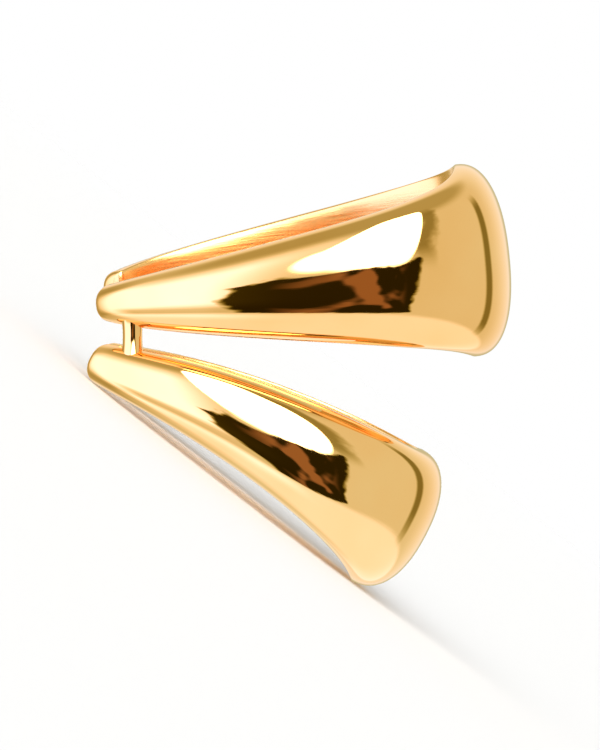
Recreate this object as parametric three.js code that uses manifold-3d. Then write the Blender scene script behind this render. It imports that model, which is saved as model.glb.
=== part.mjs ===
// Double ear cuff: two domed bands that wrap the rim of an ear, joined by one short link.
// Millimetres. It lies on its side, on the edge of the lower band and the link-side arm ends.
// +Z is up, +X runs from the arm ends to the domes, -Y is the side worn to the front.

import * as THREE from 'three';
import { mergeVertices } from 'three/addons/utils/BufferGeometryUtils.js';
import Module from 'manifold-3d';

// ---------------------------------------------------------------- driving dimensions

// The crown line of a band, seen along its axis, is a rounded rectangle of two halves:
// domeReach and tipReach run from its middle to the dome and to the open end.
// Widths and thicknesses taper from the dome to the arm ends.
const BANDS = {
  upper: {
    domeReach: 8.0,
    tipReach: 11.0,
    halfDepth: 6.0,
    squareness: 2.5,
    domeHalfWidth: 4.2,
    tipHalfWidth: 0.85,
    domeThickness: 2.1,
    tipThickness: 1.3,
    taperPower: 0.85,
    bow: 0,
    tiltDeg: 4.5,
    pitchDeg: 5.8,
    openEndX: -0.85,
    openEndZ: 1.43,
  },
  lower: {
    domeReach: 8.35,
    tipReach: 9.35,
    halfDepth: 5.7,
    squareness: 2.3,
    domeHalfWidth: 3.25,
    tipHalfWidth: 0.95,
    domeThickness: 2.1,
    tipThickness: 1.3,
    taperPower: 0.92,
    bow: 0.85,
    tiltDeg: -2,
    pitchDeg: -27.5,
    openEndX: -1.3,
    openEndZ: -0.68,
  },
};

// Shared by both bands.
const ARM_END_DEPTH = 3.35; // from the middle plane to the crown line of an arm end
const TAPER_ROUNDING = 0.06; // softens the widest point, as a share of the arm length
const CROWN_POWER = 2.3; // 2 is an ellipse, more is squarer
const LIP_RADIUS = 0.22; // rounding between the crown and the flat inner face
const END_ROUNDING = 0.32; // rounding round the flat pad of an arm end

// The link stands upright between the arms, just inside the front arm ends.
const LINK = { x: 1.8, y: -3.85, radius: 0.43, bottom: -1.2, top: 1.0 };

// Turns from the worn frame to lying on its side, first about Y, then about X. They bring the
// edge of the lower dome and the edges of the two lower arm ends down to one level.
const LAY_TURN_Y_DEG = -37.84;
const LAY_TURN_X_DEG = 1.97;

// Facets.
const RINGS = 68;
const CROWN_POINTS = 17;
const LIP_STEPS = 3;
const END_STEPS = 3;
const LINK_SIDES = 20;
const ARC_SAMPLES = 2000;
const WELD_DISTANCE = 1e-5;

const GOLD = 0xe2b04a;

// ---------------------------------------------------------------- the band

const signedPower = (value, power) => Math.sign(value) * Math.abs(value) ** power;

// A point of the crown line at an angle from the dome, 0 at the dome and pi at the open end.
function crownPoint(band, angle) {
  const reach = Math.cos(angle) >= 0 ? band.domeReach : band.tipReach;
  const power = 2 / band.squareness;
  return new THREE.Vector2(
    reach * signedPower(Math.cos(angle), power),
    band.halfDepth * signedPower(Math.sin(angle), power),
  );
}

// The angle at which an arm ends.
function endAngle(band) {
  return Math.PI - Math.asin((ARM_END_DEPTH / band.halfDepth) ** (band.squareness / 2));
}

// Length of the crown line from the dome to each of the sampled angles.
function arcTable(band) {
  const last = endAngle(band);
  const lengths = [0];
  let previous = crownPoint(band, 0);
  for (let i = 1; i <= ARC_SAMPLES; i += 1) {
    const point = crownPoint(band, (last * i) / ARC_SAMPLES);
    lengths.push(lengths[i - 1] + point.distanceTo(previous));
    previous = point;
  }
  return lengths;
}

// From 1 at the dome to 0 at the arm end, rounded at the dome.
function taper(share, power) {
  const rise = Math.hypot(share, TAPER_ROUNDING) - TAPER_ROUNDING;
  const full = Math.hypot(1, TAPER_ROUNDING) - TAPER_ROUNDING;
  return 1 - (rise / full) ** power;
}

// The closed outline of one section as [across, out] pairs: flat inner face, rounded lips, crown.
function sectionOutline(halfWidth, thickness) {
  const crown = Array.from({ length: CROWN_POINTS }, (_, i) => {
    const angle = (Math.PI * i) / (CROWN_POINTS - 1);
    const across = halfWidth * signedPower(Math.cos(angle), 2 / CROWN_POWER);
    const rise = (thickness - LIP_RADIUS) * Math.sin(angle) ** (2 / CROWN_POWER);
    return [across, LIP_RADIUS + rise];
  });
  const lip = Array.from({ length: LIP_STEPS }, (_, i) => {
    const angle = (Math.PI / 2) * ((i + 1) / LIP_STEPS);
    const across = halfWidth - LIP_RADIUS * (1 - Math.cos(angle));
    return [across, LIP_RADIUS * (1 - Math.sin(angle))];
  });
  const mirrored = lip.map(([across, out]) => [-across, out]);
  return [...crown, ...mirrored, [0, 0], ...lip.toReversed()];
}

// One section of the band at an angle. The rounded arm ends shrink it evenly by inset
// and carry it beyond the end of the crown line.
function ring(band, lengths, angle, inset, beyond) {
  const side = Math.sign(angle) || 1;
  const share = Math.abs(angle) / endAngle(band);
  const index = Math.min(share * ARC_SAMPLES, ARC_SAMPLES);
  const low = Math.floor(index);
  const high = Math.min(low + 1, ARC_SAMPLES);
  const length = THREE.MathUtils.lerp(lengths[low], lengths[high], index - low);
  const width = taper(length / lengths[ARC_SAMPLES], band.taperPower);

  const step = endAngle(band) / ARC_SAMPLES;
  const middle = crownPoint(band, angle);
  const tangent = crownPoint(band, angle + step).sub(crownPoint(band, angle - step)).normalize();
  const outward = new THREE.Vector2(tangent.y, -tangent.x);

  const halfWidth = THREE.MathUtils.lerp(band.tipHalfWidth, band.domeHalfWidth, width);
  const thickness = THREE.MathUtils.lerp(band.tipThickness, band.domeThickness, width);
  const along = (middle.x + band.tipReach) / (band.domeReach + band.tipReach);
  const lift = 4 * along * (1 - along) * band.bow;
  const shrinkWide = (halfWidth - inset) / halfWidth;
  const shrinkThick = (thickness - 2 * inset) / thickness;

  return sectionOutline(halfWidth, thickness).map(([across, out]) => {
    const offset = inset + out * shrinkThick - thickness;
    const x = middle.x + outward.x * offset + side * tangent.x * beyond;
    const y = middle.y + outward.y * offset + side * tangent.y * beyond;
    return new THREE.Vector3(x + band.tipReach, y, across * shrinkWide + lift);
  });
}

// A closed mesh through equal rings, with a fan at each end.
function skin(rings) {
  const count = rings[0].length;
  const positions = rings.flat().flatMap((point) => point.toArray());
  const faces = [];
  for (let i = 0; i + 1 < rings.length; i += 1) {
    for (let j = 0; j < count; j += 1) {
      const a = i * count + j;
      const b = i * count + ((j + 1) % count);
      faces.push(a, b, a + count, b, b + count, a + count);
    }
  }
  [0, rings.length - 1].forEach((end) => {
    const centre = positions.length / 3;
    const sum = rings[end].reduce((total, point) => total.add(point), new THREE.Vector3());
    positions.push(...sum.divideScalar(count).toArray());
    for (let j = 0; j < count; j += 1) {
      const a = end * count + j;
      const b = end * count + ((j + 1) % count);
      faces.push(...(end === 0 ? [centre, b, a] : [centre, a, b]));
    }
  });
  const geometry = new THREE.BufferGeometry();
  geometry.setAttribute('position', new THREE.Float32BufferAttribute(positions, 3));
  geometry.setIndex(faces);
  return geometry;
}

// The rings round an arm end, from its last full section out to its flat pad.
function endRings(band, lengths, angle) {
  return Array.from({ length: END_STEPS }, (_, i) => {
    const turn = (Math.PI / 2) * ((i + 1) / END_STEPS);
    const inset = END_ROUNDING * (1 - Math.cos(turn));
    return ring(band, lengths, angle, inset, END_ROUNDING * Math.sin(turn));
  });
}

// One band in the worn frame.
function bandGeometry(band) {
  const lengths = arcTable(band);
  const last = endAngle(band);
  const fullRings = Array.from({ length: RINGS }, (_, i) => {
    const angle = last * ((2 * i) / (RINGS - 1) - 1);
    return ring(band, lengths, angle, 0, 0);
  });
  const rings = [
    ...endRings(band, lengths, -last).reverse(),
    ...fullRings,
    ...endRings(band, lengths, last),
  ];
  return skin(rings)
    .rotateX(THREE.MathUtils.degToRad(band.tiltDeg))
    .rotateY(THREE.MathUtils.degToRad(-band.pitchDeg))
    .translate(band.openEndX, 0, band.openEndZ);
}

// ---------------------------------------------------------------- the link

function linkGeometry() {
  const height = LINK.top - LINK.bottom;
  return new THREE.CylinderGeometry(LINK.radius, LINK.radius, height, LINK_SIDES)
    .rotateX(Math.PI / 2)
    .translate(LINK.x, LINK.y, (LINK.top + LINK.bottom) / 2);
}

// ---------------------------------------------------------------- one solid

const wasm = await Module();
wasm.setup();

function toManifold(geometry) {
  const bare = geometry.clone();
  bare.deleteAttribute('normal');
  bare.deleteAttribute('uv');
  const merged = mergeVertices(bare, WELD_DISTANCE);
  return new wasm.Manifold(
    new wasm.Mesh({
      numProp: 3,
      vertProperties: new Float32Array(merged.attributes.position.array),
      triVerts: new Uint32Array(merged.index.array),
    }),
  );
}

function toGeometry(manifold) {
  const mesh = manifold.getMesh();
  const geometry = new THREE.BufferGeometry();
  geometry.setAttribute('position', new THREE.Float32BufferAttribute(mesh.vertProperties, 3));
  geometry.setIndex(new THREE.BufferAttribute(new Uint32Array(mesh.triVerts), 1));
  return geometry;
}

// Lays the cuff on its side, with the middle of the bottom of its box at the origin.
function layOnSide(geometry) {
  geometry
    .rotateY(THREE.MathUtils.degToRad(LAY_TURN_Y_DEG))
    .rotateX(THREE.MathUtils.degToRad(LAY_TURN_X_DEG))
    .computeBoundingBox();
  const centre = geometry.boundingBox.getCenter(new THREE.Vector3());
  return geometry.translate(-centre.x, -centre.y, -geometry.boundingBox.min.z);
}

const solid = toManifold(bandGeometry(BANDS.upper))
  .add(toManifold(bandGeometry(BANDS.lower)))
  .add(toManifold(linkGeometry()));

const cuff = new THREE.Mesh(
  layOnSide(toGeometry(solid)),
  new THREE.MeshStandardMaterial({
    name: 'gold_plated_brass',
    color: GOLD,
    metalness: 1,
    roughness: 0.12,
  }),
);
cuff.geometry.computeVertexNormals();
cuff.name = 'double_cuff';

const group = new THREE.Group();
group.name = 'ear_cuff';
group.add(cuff);

export default group;
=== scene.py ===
# %% [markdown]
# # A double-band ear cuff in polished gold
#
# The real cuff is cast in two domed bands, soldered together by a short bar where their
# slim arms meet, polished to a mirror and gold plated. In this lesson each band is grown
# by Geometry Nodes from a handful of sizes, the metal gets one procedural finish, and a
# small jewellery studio is set around it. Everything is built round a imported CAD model,
# the frame, which fixes where the cuff lies and how large it is.

# %% Load the frame
import math
from collections import namedtuple

import bpy
from mathutils import Matrix, Vector


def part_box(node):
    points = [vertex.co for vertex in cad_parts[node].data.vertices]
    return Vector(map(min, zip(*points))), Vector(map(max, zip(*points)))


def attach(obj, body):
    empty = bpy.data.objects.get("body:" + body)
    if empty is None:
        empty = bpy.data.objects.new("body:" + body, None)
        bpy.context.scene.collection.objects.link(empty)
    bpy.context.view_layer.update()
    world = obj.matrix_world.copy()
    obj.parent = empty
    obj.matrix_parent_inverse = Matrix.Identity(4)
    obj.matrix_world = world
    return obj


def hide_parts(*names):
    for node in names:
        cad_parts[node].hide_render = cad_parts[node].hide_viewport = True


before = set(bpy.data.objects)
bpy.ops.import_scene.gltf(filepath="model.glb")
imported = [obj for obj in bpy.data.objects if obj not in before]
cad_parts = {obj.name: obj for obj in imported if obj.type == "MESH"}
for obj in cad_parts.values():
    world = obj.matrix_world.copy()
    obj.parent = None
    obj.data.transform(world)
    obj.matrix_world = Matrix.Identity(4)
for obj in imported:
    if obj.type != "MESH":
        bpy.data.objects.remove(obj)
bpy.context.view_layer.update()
low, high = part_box("double_cuff")
print("frame box in mm:", [round(1000 * (b - a), 2) for a, b in zip(low, high)])

# %% [markdown]
# ## Sizes
#
# Jewellers work in millimetres and Blender in metres, so the sizes are written in
# millimetres and the finished mesh is scaled once. A band is described the way a wax
# carver thinks of it: how far it reaches to the dome and to the open end, how deep it is
# front to back, and how wide and thick it is at both ends of its taper.

# %% The sizes of the two bands
MM = 0.001

UPPER_BAND = {
    "Dome Reach": 8.0,
    "Tip Reach": 11.0,
    "Half Depth": 6.0,
    "Squareness": 2.5,
    "Dome Half Width": 4.2,
    "Tip Half Width": 0.85,
    "Dome Thickness": 2.1,
    "Tip Thickness": 1.3,
    "Taper Power": 0.85,
    "Bow": 0.0,
}
LOWER_BAND = {
    "Dome Reach": 8.35,
    "Tip Reach": 9.35,
    "Half Depth": 5.7,
    "Squareness": 2.3,
    "Dome Half Width": 3.25,
    "Tip Half Width": 0.95,
    "Dome Thickness": 2.1,
    "Tip Thickness": 1.3,
    "Taper Power": 0.92,
    "Bow": 0.85,
}
SHARED = {
    "Arm End Depth": 3.35,
    "Taper Rounding": 0.14,
    "Crown Power": 2.3,
    "Lip Power": 5.0,
    "Lip Height": 0.22,
    "End Rounding": 0.32,
}

# %% [markdown]
# ## A way to write formulas as node trees
#
# A band's shape is a formula, and a formula made of Math nodes is long to wire by hand.
# The small class below wraps a socket, so that adding or multiplying two wrapped sockets
# places the Math node for it. The tree that comes out is an ordinary one, which can be
# opened and read in the editor.

# %% A wrapped socket


def as_node_input(tree, value, socket):
    """Wires a wrapped socket to an input, or writes a plain number into it."""
    if isinstance(value, Field):
        tree.links.new(value.socket, socket)
    else:
        socket.default_value = value


class Field:
    """A number on its way through a node tree."""

    def __init__(self, tree, socket):
        self.tree = tree
        self.socket = socket

    def math(self, operation, *others):
        node = self.tree.nodes.new("ShaderNodeMath")
        node.operation = operation
        for socket, value in zip(node.inputs, (self, *others)):
            as_node_input(self.tree, value, socket)
        return Field(self.tree, node.outputs[0])

    def __add__(self, other):
        return self.math("ADD", other)

    def __sub__(self, other):
        return self.math("SUBTRACT", other)

    def __rsub__(self, other):
        return self.math("MULTIPLY", -1).math("ADD", other)

    def __mul__(self, other):
        return self.math("MULTIPLY", other)

    def __truediv__(self, other):
        return self.math("DIVIDE", other)

    def signed_power(self, exponent):
        """The power of a number's size, with its sign kept."""
        return self.math("SIGN") * self.math("ABSOLUTE").math("POWER", exponent)


def lerp(start, end, share):
    """A value on the way from start to end."""
    return start + (end - start) * share


def combine(tree, x, y, z):
    """Three numbers as one vector socket."""
    node = tree.nodes.new("ShaderNodeCombineXYZ")
    for socket, value in zip(node.inputs, (x, y, z)):
        as_node_input(tree, value, socket)
    return node.outputs[0]


# %% [markdown]
# ## Growing a band with Geometry Nodes
#
# A band could be modelled by pushing vertices or by bending a bar, but its real shape
# follows a rule, so it is made by one. First comes the crown line, the path along the
# top of the dome seen from above. It is half of a rounded rectangle on each side, drawn
# by signed powers of a cosine and a sine, and it stops short of closing, where the ear
# slides in. It is drawn finely first, then shared out into rings that are evenly spaced.

# %% The crown line
FINE_POINTS = 3000


def crown_line(tree, size):
    """The socket of a curve that has one point for every ring of the band."""
    line = tree.nodes.new("GeometryNodeCurvePrimitiveLine")
    line.inputs["End"].default_value = (1, 0, 0)
    fine = tree.nodes.new("GeometryNodeResampleCurve")
    fine.inputs["Count"].default_value = FINE_POINTS
    tree.links.new(line.outputs[0], fine.inputs["Curve"])

    along = Field(tree, tree.nodes.new("GeometryNodeSplineParameter").outputs["Factor"])
    end_share = (size["Arm End Depth"] / size["Half Depth"]).math("POWER", size["Squareness"] / 2)
    end_angle = math.pi - end_share.math("ARCSINE")
    angle = (along * 2 - 1) * end_angle
    is_dome = angle.math("COSINE").math("GREATER_THAN", 0)
    reach = lerp(size["Tip Reach"], size["Dome Reach"], is_dome)
    exponent = (size["Squareness"] / 2).math("POWER", -1)
    x = reach * angle.math("COSINE").signed_power(exponent)
    y = size["Half Depth"] * angle.math("SINE").signed_power(exponent)

    place = tree.nodes.new("GeometryNodeSetPosition")
    tree.links.new(fine.outputs[0], place.inputs["Geometry"])
    tree.links.new(combine(tree, x, y, 0), place.inputs["Position"])
    rings = tree.nodes.new("GeometryNodeResampleCurve")
    tree.links.new(place.outputs[0], rings.inputs["Curve"])
    tree.links.new(size["Rings"].socket, rings.inputs["Count"])
    return rings.outputs[0]


# %% [markdown]
# The surface starts as a flat grid. Each column of the grid becomes one section of the
# band, so a vertex only has to know two things: which ring it is on, which it reads from
# the crown line, and how far round the section it is. The section is a D with a soft
# lip: a domed crown above, and below it a flat inner face with rounded corners, made by
# the same formula with a higher power.

# %% Reading the crown line, and the shape of a section


def at_ring(tree, curve, value, ring):
    """The crown line's own number at the point of a ring."""
    sample = tree.nodes.new("GeometryNodeSampleIndex")
    tree.links.new(curve, sample.inputs["Geometry"])
    tree.links.new(value, sample.inputs["Value"])
    tree.links.new(ring.socket, sample.inputs["Index"])
    return Field(tree, sample.outputs[0])


def parts_of(tree, vector):
    """The sockets of the three numbers in a vector socket."""
    split = tree.nodes.new("ShaderNodeSeparateXYZ")
    tree.links.new(vector, split.inputs[0])
    return split.outputs


def taper(size, share):
    """1 at the dome and 0 at an arm end, rounded at the widest point."""
    rounding = size["Taper Rounding"]
    square = rounding * rounding
    rise = (share * share + square).math("SQRT") - rounding
    full = (square + 1).math("SQRT") - rounding
    return 1 - (rise / full).math("POWER", size["Taper Power"])


def section(size, turn, half_width, thickness):
    """How far across the band, and out from its inner face, a point of the section is."""
    lip = size["Lip Height"]
    is_crown = turn.math("SINE").math("GREATER_THAN", 0)
    power = (lerp(size["Lip Power"], size["Crown Power"], is_crown) / 2).math("POWER", -1)
    height = lerp(lip, thickness - lip, is_crown)
    across = half_width * turn.math("COSINE").signed_power(power)
    out = lip + height * turn.math("SINE").signed_power(power)
    return across, out


# %% [markdown]
# The arm ends are rounded like the real ones, which are touched with a polishing wheel
# so that they don't scratch. A few extra rings past each end run round a quarter circle
# while their section shrinks, and a last ring falls into one point to close the flat pad.

# %% Helpers for the trees


def new_tree(name, lengths, counts=()):
    """A node group with named inputs. Gives it, its wrapped numbers and its material socket."""
    tree = bpy.data.node_groups.new(name, "GeometryNodeTree")
    tree.interface.new_socket("Geometry", in_out="INPUT", socket_type="NodeSocketGeometry")
    for label in lengths:
        tree.interface.new_socket(label, in_out="INPUT", socket_type="NodeSocketFloat")
    for label in counts:
        tree.interface.new_socket(label, in_out="INPUT", socket_type="NodeSocketInt")
    tree.interface.new_socket("Material", in_out="INPUT", socket_type="NodeSocketMaterial")
    tree.interface.new_socket("Geometry", in_out="OUTPUT", socket_type="NodeSocketGeometry")
    inputs = tree.nodes.new("NodeGroupInput")
    size = {label: Field(tree, inputs.outputs[label]) for label in (*lengths, *counts)}
    return tree, size, inputs.outputs["Material"]


def store(tree, geometry, name, field):
    """Keeps a wrapped number on the vertices under a name, and gives the geometry on."""
    keep = tree.nodes.new("GeometryNodeStoreNamedAttribute")
    keep.inputs["Name"].default_value = name
    tree.links.new(geometry, keep.inputs["Geometry"])
    tree.links.new(field.socket, keep.inputs["Value"])
    return keep.outputs[0]


def close_tree(tree, geometry, material):
    """Welds the seams, shades smooth, and ends in Realize Instances and Set Material."""
    for kind in (
        "GeometryNodeMergeByDistance",
        "GeometryNodeSetShadeSmooth",
        "GeometryNodeRealizeInstances",
        "GeometryNodeSetMaterial",
    ):
        node = tree.nodes.new(kind)
        tree.links.new(geometry, node.inputs["Geometry"])
        geometry = node.outputs[0]
    tree.links.new(material, node.inputs["Material"])
    tree.links.new(geometry, tree.nodes.new("NodeGroupOutput").inputs[0])


# %% The steps of a band


def band_grid(tree, size):
    """The flat grid, and for each vertex its ring, 0 at the first full one, and its turn."""
    extra = size["End Rings"] + 1
    around = size["Section Points"] + 1
    grid = tree.nodes.new("GeometryNodeMeshGrid")
    tree.links.new((size["Rings"] + extra * 2).socket, grid.inputs["Vertices X"])
    tree.links.new(around.socket, grid.inputs["Vertices Y"])

    index = Field(tree, tree.nodes.new("GeometryNodeInputIndex").outputs[0])
    step = ((index + 0.5) / around).math("FLOOR") - extra
    turn = index.math("MODULO", around) / size["Section Points"] * math.tau
    return grid.outputs["Mesh"], step, turn


def round_end(size, past_end, section_spot, half_width, thickness):
    """The section shrunk round a quarter circle past an arm end, and how far past it is."""
    across, out = section_spot
    rings_past = past_end.math("ABSOLUTE")
    is_pole = rings_past.math("GREATER_THAN", size["End Rings"])
    corner = rings_past.math("MINIMUM", size["End Rings"]) / size["End Rings"] * (math.pi / 2)
    inset = size["End Rounding"] * (1 - corner.math("COSINE"))
    beyond = size["End Rounding"] * corner.math("SINE") * past_end.math("SIGN")
    across = across * (1 - is_pole) * (half_width - inset) / half_width
    out = lerp(inset + out * (thickness - inset * 2) / thickness, thickness / 2, is_pole)
    return across, out, beyond


def keep_for_finish(tree, geometry, length, across, turn):
    """Keeps where each vertex is on the band, because the hairlines follow it."""
    geometry = store(tree, geometry, "along_mm", length)
    geometry = store(tree, geometry, "across_mm", across)
    return store(tree, geometry, "inner", turn.math("SINE") * -1)


# %% The tree of a band
COUNTS = {"Rings": 360, "End Rings": 8, "Section Points": 96}


def band_tree():
    """The node group that turns the sizes of a band into its surface."""
    tree, size, material = new_tree("grow_band", [*UPPER_BAND, *SHARED], COUNTS)
    curve = crown_line(tree, size)
    grid, step, turn = band_grid(tree, size)
    ring = step.math("MAXIMUM", 0).math("MINIMUM", size["Rings"] - 1)

    position = tree.nodes.new("GeometryNodeInputPosition").outputs[0]
    tangent = tree.nodes.new("GeometryNodeInputTangent").outputs[0]
    parameter = tree.nodes.new("GeometryNodeSplineParameter")
    x, y, _ = (at_ring(tree, curve, part, ring) for part in parts_of(tree, position))
    run, rise, _ = (at_ring(tree, curve, part, ring) for part in parts_of(tree, tangent))
    share = at_ring(tree, curve, parameter.outputs["Factor"], ring)
    length = at_ring(tree, curve, parameter.outputs["Length"], ring)

    width = taper(size, (share * 2 - 1).math("ABSOLUTE"))
    half_width = lerp(size["Tip Half Width"], size["Dome Half Width"], width)
    thickness = lerp(size["Tip Thickness"], size["Dome Thickness"], width)
    spot = section(size, turn, half_width, thickness)
    across, out, beyond = round_end(size, step - ring, spot, half_width, thickness)

    # The crown line is the top of the crown, and the bow lifts the middle of the band.
    offset = out - thickness
    along = (x + size["Tip Reach"]) / (size["Dome Reach"] + size["Tip Reach"])
    lift = size["Bow"] * 4 * along * (1 - along)
    new_x = x + rise * offset + run * beyond + size["Tip Reach"]
    new_y = y - run * offset + rise * beyond
    place = tree.nodes.new("GeometryNodeSetPosition")
    tree.links.new(grid, place.inputs["Geometry"])
    tree.links.new(combine(tree, new_x, new_y, across + lift), place.inputs["Position"])

    # A grid's faces look up, which on a band is inward, so they are flipped.
    flip = tree.nodes.new("GeometryNodeFlipFaces")
    kept = keep_for_finish(tree, place.outputs[0], length, across, turn)
    tree.links.new(kept, flip.inputs["Mesh"])
    close_tree(tree, flip.outputs[0], material)
    return tree


grow_band = band_tree()
print("band tree:", len(grow_band.nodes), "nodes")

# %% [markdown]
# ## Gold with a mirror polish
#
# Plated gold is a plain metal to a renderer, a strong warm tint and hardly any
# roughness, so what makes it look real is what a polisher leaves behind: broad soft
# swells in the gloss, very fine hairlines that follow the band, and an inner face that
# is only brushed. All of it is procedural. The hairlines read the lengths that the
# Geometry Nodes kept on the mesh, so that they run along the band and not through it.

# %% Helpers for the material


def noise(tree, vector, scale, detail):
    """A noise texture read at a vector."""
    node = tree.nodes.new("ShaderNodeTexNoise")
    node.inputs["Scale"].default_value = scale
    node.inputs["Detail"].default_value = detail
    tree.links.new(vector, node.inputs["Vector"])
    return Field(tree, node.outputs["Fac"])


def attribute(tree, name):
    """A number that the Geometry Nodes kept on the mesh."""
    node = tree.nodes.new("ShaderNodeAttribute")
    node.attribute_name = name
    return Field(tree, node.outputs["Fac"])


def ramp(tree, field, stops):
    """A colour ramp over a wrapped number. Stops are pairs of a place and a colour."""
    node = tree.nodes.new("ShaderNodeValToRGB")
    elements = node.color_ramp.elements
    while len(elements) < len(stops):
        elements.new(1)
    for element, (place, colour) in zip(elements, stops):
        element.position = place
        element.color = (*colour, 1)
    tree.links.new(field.socket, node.inputs[0])
    return node.outputs["Color"]


def limited(field):
    """A wrapped number kept between 0 and 1."""
    return field.math("MAXIMUM", 0).math("MINIMUM", 1)


# %% The gold
GOLD_TINTS = [(0.3, (0.96, 0.56, 0.2)), (0.5, (1.0, 0.615, 0.25)), (0.72, (1.0, 0.67, 0.3))]
EDGE_TINT = (1.0, 0.98, 0.94, 1)

# These scales are per metre, so the tint drifts over about 7 mm and the gloss over 2.4 mm.
TINT_SCALE = 140
TINT_DETAIL = 3
GLOSS_SCALE = 420
GLOSS_DETAIL = 2
# The hairlines are read in millimetres, and drawn out twenty times along the band.
HAIRLINE_SCALE = 9
HAIRLINE_DETAIL = 4
HAIRLINE_DRAW = 1 / 20
HAIRLINES_LEFT_BY_POLISH = 0.12

# The brushing sets in where four times the inner value passes 0.6.
BRUSHING_RISE = 4
BRUSHING_START = 0.6

MIRROR_ROUGHNESS = 0.015
MIRROR_VARIATION = 0.03
SATIN_ROUGHNESS = 0.16
SATIN_VARIATION = 0.16
RELIEF_STRENGTH = 0.25
RELIEF_DEPTH = 0.00002


def polished_gold():
    """Mirror-polished gold plate, brushed on the inner face."""
    material = bpy.data.materials.new("polished_gold")
    material.use_nodes = True
    tree = material.node_tree
    shader = tree.nodes["Principled BSDF"]
    shader.inputs["Metallic"].default_value = 1
    shader.inputs["Specular Tint"].default_value = EDGE_TINT

    # Inner runs from -1 on top of the crown to 1 in the middle of the inner face, so the
    # brushing starts just inside the lips. The link bar has no inner face and reads 0.
    inner = attribute(tree, "inner")
    brushed = limited(inner * BRUSHING_RISE - BRUSHING_START)
    along = attribute(tree, "along_mm") * HAIRLINE_DRAW
    on_band = combine(tree, along, attribute(tree, "across_mm"), inner)
    hairline = noise(tree, on_band, HAIRLINE_SCALE, HAIRLINE_DETAIL)

    place = tree.nodes.new("ShaderNodeTexCoord").outputs["Object"]
    tint = ramp(tree, noise(tree, place, TINT_SCALE, TINT_DETAIL), GOLD_TINTS)
    tree.links.new(tint, shader.inputs["Base Color"])

    gloss = noise(tree, place, GLOSS_SCALE, GLOSS_DETAIL)
    polish = gloss * MIRROR_VARIATION + MIRROR_ROUGHNESS
    satin = hairline * SATIN_VARIATION + SATIN_ROUGHNESS
    tree.links.new(lerp(polish, satin, brushed).socket, shader.inputs["Roughness"])

    bump = tree.nodes.new("ShaderNodeBump")
    bump.inputs["Strength"].default_value = RELIEF_STRENGTH
    bump.inputs["Distance"].default_value = RELIEF_DEPTH
    relief = lerp(hairline * HAIRLINES_LEFT_BY_POLISH, hairline, brushed)
    tree.links.new(relief.socket, bump.inputs["Height"])
    tree.links.new(bump.outputs[0], shader.inputs["Normal"])
    return material


gold = polished_gold()
print("gold material:", len(gold.node_tree.nodes), "nodes")

# %% [markdown]
# ## Placing the bands
#
# A band is grown flat, with its open end at the origin. Three rigid moves put it where
# it belongs on an ear: a small tilt, the pitch that makes the two bands splay, and its
# own place. Two more turns lay the whole cuff on its side, and the frame's box says
# where on the surface it lies. All moves go into the vertices, so that every object
# stays at the origin.

# %% Placing
BAND_PLACES = {
    "upper_band": {"tilt": 4.5, "pitch": 5.8, "x": -0.85, "z": 1.43},
    "lower_band": {"tilt": -2.0, "pitch": -27.5, "x": -1.3, "z": -0.68},
}
LAY_TURN_Y = math.radians(-37.84)
LAY_TURN_X = math.radians(1.97)
LAY = Matrix.Rotation(LAY_TURN_X, 4, "X") @ Matrix.Rotation(LAY_TURN_Y, 4, "Y")


def band_place(place):
    """The rigid move of a band from where it was grown to the worn cuff."""
    tilt = Matrix.Rotation(math.radians(place["tilt"]), 4, "X")
    pitch = Matrix.Rotation(math.radians(-place["pitch"]), 4, "Y")
    return Matrix.Translation((place["x"], 0, place["z"])) @ pitch @ tilt


# %% Growing a piece


def grow(name, tree, values):
    """Runs a tree with its inputs set, and gives the result as a plain mesh object."""
    carrier = bpy.data.objects.new(name, bpy.data.meshes.new(name))
    bpy.context.scene.collection.objects.link(carrier)
    modifier = carrier.modifiers.new("grow", "NODES")
    modifier.node_group = tree
    for item in tree.interface.items_tree:
        if item.in_out == "INPUT" and item.name in values:
            modifier[item.identifier] = values[item.name]
    graph = bpy.context.evaluated_depsgraph_get()
    mesh = bpy.data.meshes.new_from_object(
        carrier.evaluated_get(graph), preserve_all_data_layers=True, depsgraph=graph
    )
    carrier.modifiers.remove(modifier)
    carrier.data = mesh
    mesh.name = name
    # The grid that a band starts from brings an empty material slot, which isn't kept.
    while mesh.materials[0] is None:
        mesh.materials.pop(index=0)
    print(f"{name}: {len(mesh.polygons)} faces")
    return carrier


pieces = []
for name, sizes in (("upper_band", UPPER_BAND), ("lower_band", LOWER_BAND)):
    band = grow(name, grow_band, {**sizes, **SHARED, **COUNTS, "Material": gold})
    band.data.transform(Matrix.Scale(MM, 4) @ LAY @ band_place(BAND_PLACES[name]))
    pieces.append(band)

# %% [markdown]
# ## The link
#
# On the real cuff a short round bar joins the two front arms. It is soldered at both
# ends, and the solder leaves a small flare where the bar meets each arm. A cylinder would
# lack the flares, so a straight curve carries the radius of the bar, and Curve to Mesh
# sweeps a circle along it. The ends stop just inside the arms.

# %% The link bar
LINK = {"Bottom": -0.85, "Top": 0.8, "Radius": 0.42, "Flare": 0.1, "Flare Length": 0.25}
LINK_PLACE = (1.8, -3.65, 0)
LINK_RINGS = 60
LINK_SIDES = 48


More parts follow.
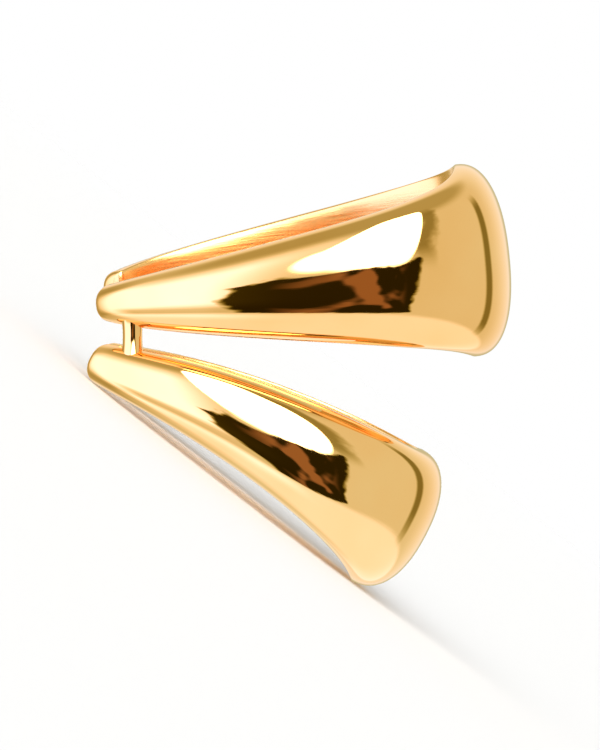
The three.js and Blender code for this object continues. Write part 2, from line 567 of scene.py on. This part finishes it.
def link_tree():
    """The node group that sweeps the link bar with a flare at both ends."""
    tree, size, material = new_tree("grow_link", LINK)
    line = tree.nodes.new("GeometryNodeCurvePrimitiveLine")
    tree.links.new(combine(tree, 0, 0, size["Bottom"]), line.inputs["Start"])
    tree.links.new(combine(tree, 0, 0, size["Top"]), line.inputs["End"])
    rings = tree.nodes.new("GeometryNodeResampleCurve")
    rings.inputs["Count"].default_value = LINK_RINGS
    tree.links.new(line.outputs[0], rings.inputs["Curve"])

    along = Field(tree, tree.nodes.new("GeometryNodeSplineParameter").outputs["Length"])
    whole = size["Top"] - size["Bottom"]
    to_end = along.math("MINIMUM", whole - along)
    flare = size["Flare"] * (to_end / size["Flare Length"] * -1).math("EXPONENT")
    radius = tree.nodes.new("GeometryNodeSetCurveRadius")
    tree.links.new(rings.outputs[0], radius.inputs["Curve"])
    tree.links.new((size["Radius"] + flare).socket, radius.inputs["Radius"])

    circle = tree.nodes.new("GeometryNodeCurvePrimitiveCircle")
    circle.inputs["Resolution"].default_value = LINK_SIDES
    circle.inputs["Radius"].default_value = 1
    sweep = tree.nodes.new("GeometryNodeCurveToMesh")
    sweep.inputs["Fill Caps"].default_value = True
    tree.links.new(radius.outputs[0], sweep.inputs["Curve"])
    tree.links.new(circle.outputs[0], sweep.inputs["Profile Curve"])
    kept = tree.nodes.new("GeometryNodeInputRadius")
    tree.links.new(kept.outputs[0], sweep.inputs["Scale"])
    geometry = store(tree, sweep.outputs[0], "along_mm", along)
    close_tree(tree, geometry, material)
    return tree


link = grow("link_bar", link_tree(), {**LINK, "Material": gold})
link.data.transform(Matrix.Scale(MM, 4) @ LAY @ Matrix.Translation(LINK_PLACE))
pieces.append(link)

# %% [markdown]
# The cuff now lies as it should, but it was grown round its own origin. It is moved as a
# whole so that its box stands in the middle of the frame's box, on the same floor.

# %% Onto the frame


def corners(objects):
    """The lowest and the highest corner over the vertices of some objects."""
    spots = [vertex.co for item in objects for vertex in item.data.vertices]
    lowest = Vector([min(spot[axis] for spot in spots) for axis in range(3)])
    highest = Vector([max(spot[axis] for spot in spots) for axis in range(3)])
    return lowest, highest


lowest, highest = corners(pieces)
middle = (Vector(low) + Vector(high) - lowest - highest) / 2
shift = Vector((middle.x, middle.y, low[2] - lowest.z))
for piece in pieces:
    piece.data.transform(Matrix.Translation(shift))
    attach(piece, "root")
    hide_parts("double_cuff")

lowest, highest = corners(pieces)
print("cuff box in mm:", [round(1000 * value, 2) for value in highest - lowest])
print("apart from the frame in mm:", [round(1000 * (a - b), 3) for a, b in zip(highest, high)])

# %% Are the faces turned outward?


def volume(mesh):
    """The signed volume of a closed mesh, positive when its faces look outward."""
    mesh.calc_loop_triangles()
    spots = [vertex.co for vertex in mesh.vertices]
    total = 0
    for triangle in mesh.loop_triangles:
        a, b, c = (spots[index] for index in triangle.vertices)
        total += a.dot(b.cross(c)) / 6
    return total


for piece in pieces:
    cubic_mm = volume(piece.data) / MM**3
    triangles = len(piece.data.loop_triangles)
    print(f"{piece.name}: {cubic_mm:.1f} cubic mm, {triangles} triangles")

# %% [markdown]
# ## A small studio
#
# Polished metal shows its surroundings more than itself, so the studio is what shapes
# it. The camera comes first, because a highlight sits where the camera sees it. It looks
# at the front of the cuff from just above the floor, and it is turned with the cuff, so
# that the bands are seen as they stand on an ear. A long lens keeps them undistorted.

# %% The camera
VIEW_ELEVATION = math.radians(1.2)
VIEW_DISTANCE = 0.3
FOCAL_LENGTH = 330
SENSOR_WIDTH = 36
CLIP_START = 0.01

toward = Vector((0, math.cos(VIEW_ELEVATION), -math.sin(VIEW_ELEVATION)))
worn_right = LAY.to_3x3() @ Vector((1, 0, 0))
right = (worn_right - toward * worn_right.dot(toward)).normalized()
up = right.cross(toward)


def middle_along(direction):
    """How far along a direction the middle of the cuff is."""
    reaches = [vertex.co.dot(direction) for piece in pieces for vertex in piece.data.vertices]
    return (min(reaches) + max(reaches)) / 2


centre = right * middle_along(right) + up * middle_along(up) + toward * middle_along(toward)
camera_data = bpy.data.cameras.new("camera")
camera = bpy.data.objects.new("camera", camera_data)
bpy.context.scene.collection.objects.link(camera)
axes = Matrix((right, up, -toward)).transposed().to_4x4()
camera.matrix_world = Matrix.Translation(centre - toward * VIEW_DISTANCE) @ axes
camera_data.lens = FOCAL_LENGTH
camera_data.sensor_width = SENSOR_WIDTH
camera_data.clip_start = CLIP_START
bpy.context.scene.camera = camera
print("camera in mm:", [round(value / MM, 1) for value in camera.matrix_world.translation])

# %% Helpers for soft edges


def past(field, edge, softness):
    """0 before an edge and 1 past it, smooth over the softness."""
    node = field.tree.nodes.new("ShaderNodeMapRange")
    node.interpolation_type = "SMOOTHSTEP"
    node.inputs["From Min"].default_value = edge - softness
    node.inputs["From Max"].default_value = edge + softness
    field.tree.links.new(field.socket, node.inputs["Value"])
    return Field(field.tree, node.outputs["Result"])


def between(field, start, end, softness):
    """1 between two edges and 0 outside them."""
    return past(field, start, softness) * (1 - past(field, end, softness))


# %% [markdown]
# The floor is one large sheet of white paper. The metal doesn't mirror it, because a jewel
# is usually shown in a light tent, and the tent is what the gold mirrors here. Far away
# the paper fades into the backdrop, so that no horizon shows.

# %% The floor
FLOOR_WIDTH = 4.0
FADE_DISTANCE = 0.35
FADE_SOFTNESS = 0.32
PAPER_WHITE = (0.75, 0.75, 0.75, 1)
PAPER_ROUGHNESS = 0.7


def mix_shaders(tree, share, first, second, output):
    """Shows the first shader where the share is 0 and the second where it is 1."""
    mix = tree.nodes.new("ShaderNodeMixShader")
    for socket, value in zip(mix.inputs, (share, first, second)):
        tree.links.new(value, socket)
    tree.links.new(mix.outputs[0], tree.nodes[output].inputs["Surface"])


def white_paper():
    """Matt white paper that fades away from the middle."""
    material = bpy.data.materials.new("white_paper")
    material.use_nodes = True
    tree = material.node_tree
    shader = tree.nodes["Principled BSDF"]
    shader.inputs["Base Color"].default_value = PAPER_WHITE
    shader.inputs["Roughness"].default_value = PAPER_ROUGHNESS

    distance = tree.nodes.new("ShaderNodeVectorMath")
    distance.operation = "LENGTH"
    place = tree.nodes.new("ShaderNodeTexCoord").outputs["Object"]
    tree.links.new(place, distance.inputs[0])
    faded = past(Field(tree, distance.outputs["Value"]), FADE_DISTANCE, FADE_SOFTNESS)
    clear = tree.nodes.new("ShaderNodeBsdfTransparent")
    mix_shaders(tree, faded.socket, shader.outputs[0], clear.outputs[0], "Material Output")
    return material


half = FLOOR_WIDTH / 2
floor_corners = [(-half, -half, 0), (half, -half, 0), (half, half, 0), (-half, half, 0)]
floor_mesh = bpy.data.meshes.new("floor")
floor_mesh.from_pydata(floor_corners, [], [(0, 1, 2, 3)])
floor_mesh.materials.append(white_paper())
floor = bpy.data.objects.new("floor", floor_mesh)
bpy.context.scene.collection.objects.link(floor)
floor.visible_glossy = False

# %% [markdown]
# The tent is painted on the world, as bright as each part of a real studio would be. A
# part is found by its direction from the cuff, so the first step is to turn a direction
# into the camera's own: an azimuth, which is 0 toward the camera and grows to its right,
# an elevation, and how far across and up it is on a wall in front of the cuff.

# %% The directions of the studio


def dot(tree, vector, constant):
    """The share of a direction that lies along a fixed one."""
    node = tree.nodes.new("ShaderNodeVectorMath")
    node.operation = "DOT_PRODUCT"
    node.inputs[1].default_value = constant
    tree.links.new(vector, node.inputs[0])
    return Field(tree, node.outputs["Value"])


DEGREES = math.degrees(1)
FRONT_LIMIT = 0.02

world = bpy.data.worlds.new("studio")
bpy.context.scene.world = world
world.use_nodes = True
tree = world.node_tree
direction = tree.nodes.new("ShaderNodeTexCoord").outputs["Generated"]
to_right = dot(tree, direction, right)
to_up = dot(tree, direction, up)
to_camera = dot(tree, direction, -toward)

azimuth = to_right.math("ARCTAN2", to_camera) * DEGREES
elevation = to_up.math("ARCSINE") * DEGREES
in_front = past(to_camera, FRONT_LIMIT, FRONT_LIMIT)
across_front = to_right / to_camera.math("MAXIMUM", FRONT_LIMIT)
up_front = to_up / to_camera.math("MAXIMUM", FRONT_LIMIT)

# %% [markdown]
# The walls give the broad tones. The left one is bright and makes the cream of the slim
# arms, and the table makes the pale strip under each dome. The duller parts give the gold
# its depth: the ceiling, the side of the soft box, the corner behind the arms, and a
# narrow seam at the right, which draws a thin dark line down each dome. The wall straight
# behind the cuff is a little darker, and outlines it against the white.

# %% The walls of the tent
Patch = namedtuple("Patch", "left right side_softness bottom top edge_softness amount")
Edge = namedtuple("Edge", "place softness amount")

# Patches are in degrees of azimuth and elevation. The back wall and the outline are cut
# by how far a direction points to the camera: -1 is straight away from it.
AMBIENT = 0.8
LEFT_WALL = Patch(-105, -15, 14, -40, 45, 16, 0.9)
BACK_WALL = Edge(-0.62, 0.3, 0.2)
TABLE_EDGE = -0.75
TABLE = Edge(math.degrees(math.atan(TABLE_EDGE)), 3, 0.32)

CEILING = Edge(58, 10, 0.4)
SEAM = Patch(101, 112, 2.5, -32, 36, 10, 0.7)
SOFT_BOX_SIDE = Patch(28, 44, 5, 4, 62, 10, 0.6)
BACK_CORNER = Patch(-150, -96, 12, -50, 50, 14, 0.45)
WALL_FOOT = Patch(-80, -10, 14, -38, -22, 6, 0.5)
OUTLINE = Edge(-0.95, 0.035, 0.4)

# A noise frays what has no straight edge in a real studio.
FRAY_SCALE = 3.2
FRAY_DETAIL = 3
SIDE_FRAY = 24


def patch(across, up_down, area):
    """The amount of an area of the tent inside its edges, and 0 outside them."""
    side = between(across, area.left, area.right, area.side_softness)
    height = between(up_down, area.bottom, area.top, area.edge_softness)
    return side * height * area.amount


def above(field, edge):
    """The amount of an edge past its place."""
    return past(field, edge.place, edge.softness) * edge.amount


def below(field, edge):
    """The amount of an edge before its place."""
    return (1 - past(field, edge.place, edge.softness)) * edge.amount


fray = noise(tree, direction, FRAY_SCALE, FRAY_DETAIL) - 0.5
frayed_azimuth = azimuth + fray * SIDE_FRAY

light = patch(azimuth, elevation, LEFT_WALL) + below(to_camera, BACK_WALL)
light = light + below(elevation, TABLE) + AMBIENT
for darker in (
    above(elevation, CEILING),
    patch(azimuth, elevation, SEAM),
    patch(frayed_azimuth, elevation, SOFT_BOX_SIDE),
    patch(azimuth, elevation, BACK_CORNER),
    patch(azimuth, elevation, WALL_FOOT),
    below(to_camera, OUTLINE),
):
    light = light * (1 - darker)

# %% [markdown]
# The dark shape in front is a person at the camera, cut off below by the table. Without
# it, polished gold looks like yellow plastic. Its outline is frayed by noise, and warm
# patches where the hands are break up the black.

# %% The person at the camera
FIGURE_LEFT = -0.34
FIGURE_RIGHT = 0.62
FIGURE_SIDE_SOFTNESS = 0.04
FIGURE_TOP = 0.01
FIGURE_EDGE_SOFTNESS = 0.02
FIGURE_FRAY = 0.5
FIGURE_DARKNESS = 0.97

HANDS_LEFT = -0.1
HANDS_RIGHT = 0.4
HANDS_SOFTNESS = 0.1
SPOT_SCALE = 4.5
SPOT_DETAIL = 1.5
SPOT_EDGE = 0.52
SPOT_SOFTNESS = 0.05
HAND_LIGHT = 0.3
HAND_TINT = (1, 0.45, 0.2)

frayed_across = across_front + fray * FIGURE_FRAY
frayed_up = up_front + fray * FIGURE_FRAY
figure = between(frayed_across, FIGURE_LEFT, FIGURE_RIGHT, FIGURE_SIDE_SOFTNESS)
figure = figure * (1 - past(frayed_up, FIGURE_TOP, FIGURE_EDGE_SOFTNESS))
figure = figure * past(up_front, TABLE_EDGE, FIGURE_EDGE_SOFTNESS) * in_front
light = light * (1 - figure * FIGURE_DARKNESS)

spots = noise(tree, direction, SPOT_SCALE, SPOT_DETAIL)
hands = figure * between(across_front, HANDS_LEFT, HANDS_RIGHT, HANDS_SOFTNESS)
hands = hands * past(spots, SPOT_EDGE, SPOT_SOFTNESS) * HAND_LIGHT

# %% [markdown]
# A tall soft box leans over the camera and gives the white highlights. Its corners are
# rounded, so its outline is a superellipse.

# %% The soft box
BOX_MIDDLE = (0.2, 1.42)
BOX_HALF_SIZE = (0.43, 1.44)
BOX_SQUARENESS = 4
BOX_SOFTNESS = 0.14
BOX_LIGHT = 6.0

box_across = ((across_front - BOX_MIDDLE[0]) / BOX_HALF_SIZE[0]).math("ABSOLUTE")
box_up = ((up_front - BOX_MIDDLE[1]) / BOX_HALF_SIZE[1]).math("ABSOLUTE")
box_across = box_across.math("POWER", BOX_SQUARENESS)
box_up = box_up.math("POWER", BOX_SQUARENESS)
box = (1 - past(box_across + box_up, 1, BOX_SOFTNESS)) * (1 - figure) * in_front

# %% [markdown]
# In the mirror of the gold, brighter parts of the tent are also cooler, as daylight is
# beside a lamp, so green and blue rise faster than red. The paper gets nearly white light,
# and the camera sees a plain white backdrop. A plain view transform keeps the paper white
# and the gold rich.

# %% The world
GREEN_RISE = 0.1
BLUE_RISE = 1

rays = tree.nodes.new("ShaderNodeLightPath")
mirrored = Field(tree, rays.outputs["Is Glossy Ray"])
tones = (
    light,
    light.math("POWER", mirrored * GREEN_RISE + 1),
    light.math("POWER", mirrored * BLUE_RISE + 1),
)
glow = box * BOX_LIGHT
channels = [tone + hands * tint + glow for tone, tint in zip(tones, HAND_TINT)]
tent = tree.nodes["Background"]
tree.links.new(combine(tree, *channels), tent.inputs["Color"])

backdrop = tree.nodes.new("ShaderNodeBackground")
backdrop.inputs["Color"].default_value = (1, 1, 1, 1)
seen = rays.outputs["Is Camera Ray"]
mix_shaders(tree, seen, tent.outputs[0], backdrop.outputs[0], "World Output")
bpy.context.scene.view_settings.view_transform = "Standard"
print("studio:", len(tree.nodes), "nodes")
